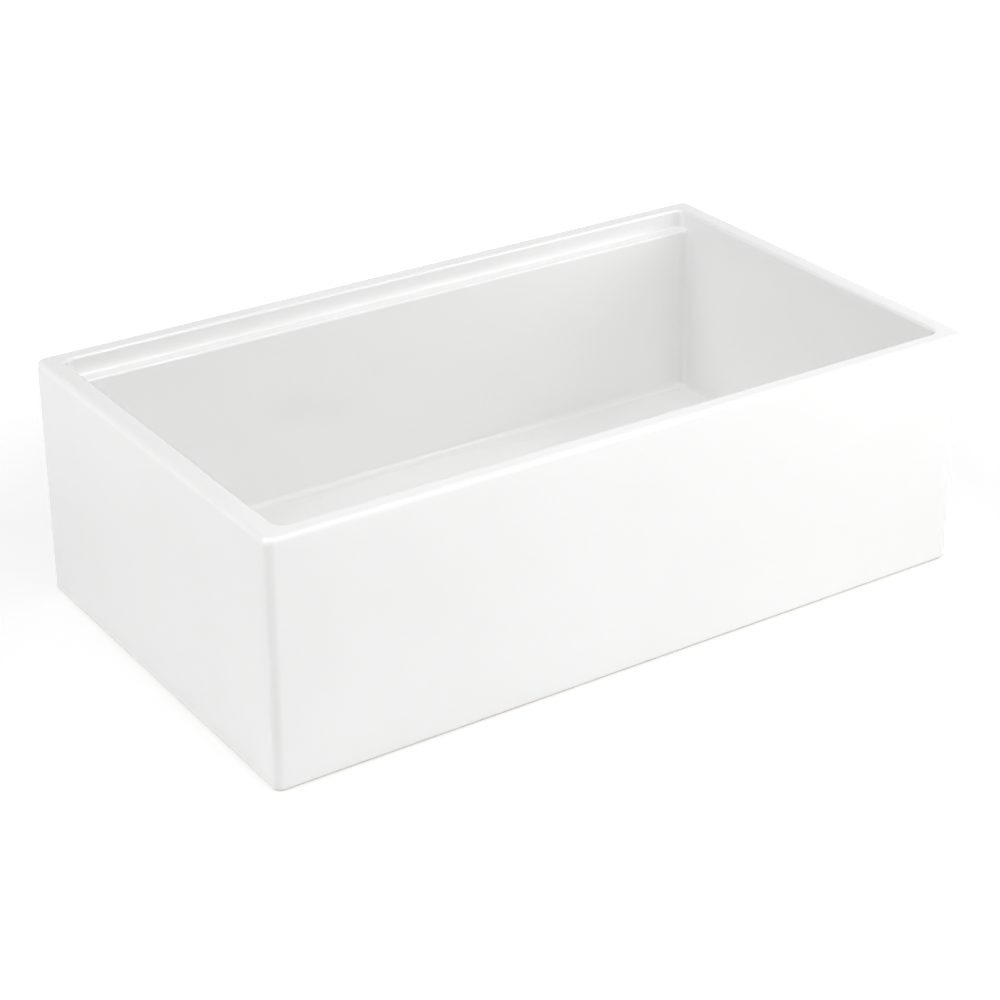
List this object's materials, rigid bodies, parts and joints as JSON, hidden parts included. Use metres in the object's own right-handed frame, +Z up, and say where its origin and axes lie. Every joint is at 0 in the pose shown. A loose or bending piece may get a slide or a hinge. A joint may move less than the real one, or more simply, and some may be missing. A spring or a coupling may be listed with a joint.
{
  "type": "apron front kitchen sink",
  "caption": "Rectangular glazed fireclay farmhouse sink with a plain apron front, a ledge along its front and back walls, and a basket strainer drain with a lift-out basket.",
  "frame": {"origin": "centre of the flat base that bears on the cabinet's support, on the drain's axis", "axes": "+X along the apron to the right as seen from the front, +Y to the back wall, +Z up; the apron faces -Y"},
  "size_m": [0.8382, 0.4826, 0.4119],
  "materials": {
    "fireclay": "glossy white glaze",
    "steel": "polished stainless steel",
    "tube_chrome": "chrome-plated brass tube",
    "brass_chrome": "chrome-plated brass",
    "zinc": "die-cast alloy, as cast",
    "rubber": "black rubber",
    "foam_seal": "white closed-cell foam",
    "fibre": "pressed fibre",
    "washer_plastic": "natural polyethylene"
  },
  "bodies": {
    "sink": {"sink_bowl": "fireclay", "flange_seal": "foam_seal", "strainer_body": "steel", "outlet_collar": "brass_chrome", "strainer_crossbar": "steel", "sink_gasket": "rubber", "friction_ring": "fibre", "locknut": "zinc", "coupling_nut": "brass_chrome", "tailpiece_washer": "washer_plastic", "tailpiece": "tube_chrome"},
    "basket": {"basket": "steel", "stopper_seal": "rubber", "seal_retainer": "steel", "hub_ferrule": "steel"},
    "knob": {"basket_knob": "steel", "basket_post": "steel", "spring_clip": "steel"}
  },
  "joints": [
    {"name": "basket_lift", "type": "slide", "parent": "sink", "child": "basket", "axis": [0, 0, 1], "range_m": [0, 0.32]},
    {"name": "knob_turn", "type": "hinge", "parent": "basket", "child": "knob", "pos_m": [0, 0, 0.031], "axis": [0, 0, 1], "continuous": true}
  ]
}
